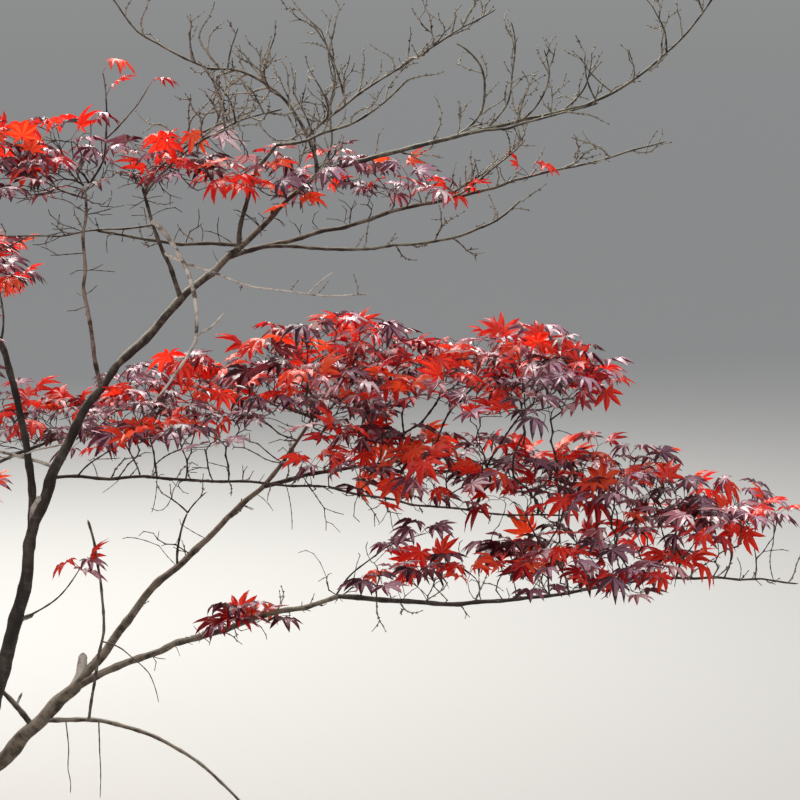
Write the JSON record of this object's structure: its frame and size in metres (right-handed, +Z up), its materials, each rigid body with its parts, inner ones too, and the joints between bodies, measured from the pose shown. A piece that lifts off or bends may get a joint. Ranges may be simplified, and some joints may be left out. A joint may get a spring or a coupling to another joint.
{
  "type": "japanese maple tree",
  "caption": "Small Japanese maple with a short leaning trunk, long arching boughs and flat open tiers of red and plum lobed leaves, bare twigs at upper right.",
  "frame": {"origin": "centre of the flat cut under the trunk, at ground level", "axes": "+Z up, +X along the long lower boughs, +Y away from the side the picture was taken from"},
  "size_m": [2.5817, 2.2591, 1.8361],
  "materials": {
    "bark": "rough brown-grey bark with paler patches and a little lichen",
    "foliage": "thin satin leaves, scarlet, crimson and plum"
  },
  "bodies": {
    "root": {"arch_bough": "bark", "arch_tip": "bark", "crown_arm": "bark", "crown_back": "foliage", "crown_front": "foliage", "crown_side": "foliage", "crown_top": "foliage", "drooping_arm": "bark", "far_arm_1": "bark", "far_arm_2": "bark", "far_arm_3": "bark", "far_stem_1": "bark", "far_stem_2": "bark", "far_stem_3": "bark", "high_tier_1": "foliage", "high_tier_2": "foliage", "high_tier_3": "foliage", "inner_arm": "bark", "leader": "bark", "leader_top": "bark", "left_arm": "bark", "left_leader": "bark", "left_top": "bark", "low_bough": "bark", "low_bough_rise": "bark", "low_fork_right": "bark", "low_fork_up": "bark", "low_tier_1": "foliage", "low_tier_2": "foliage", "low_tier_3": "foliage", "mid_bough": "bark", "mid_centre": "foliage", "mid_inner": "foliage", "mid_left": "foliage", "mid_lower": "foliage", "mid_outer": "foliage", "middle_arm_1": "bark", "middle_arm_2": "bark", "middle_tier_1": "foliage", "middle_tier_2": "foliage", "right_lower": "foliage", "right_stem": "bark", "right_tip": "foliage", "right_upper": "foliage", "rising_bough": "bark", "snag_shoot": "bark", "spreader": "bark", "top_bough": "bark", "top_tip": "bark", "trunk": "bark", "under_bough": "bark", "under_inner": "foliage", "under_outer": "bark", "under_spray": "foliage", "under_tip": "bark", "upper_left": "foliage", "upper_mid": "foliage", "upper_outer": "foliage", "upper_right": "foliage", "upright_shoot": "bark"}
  },
  "joints": []
}
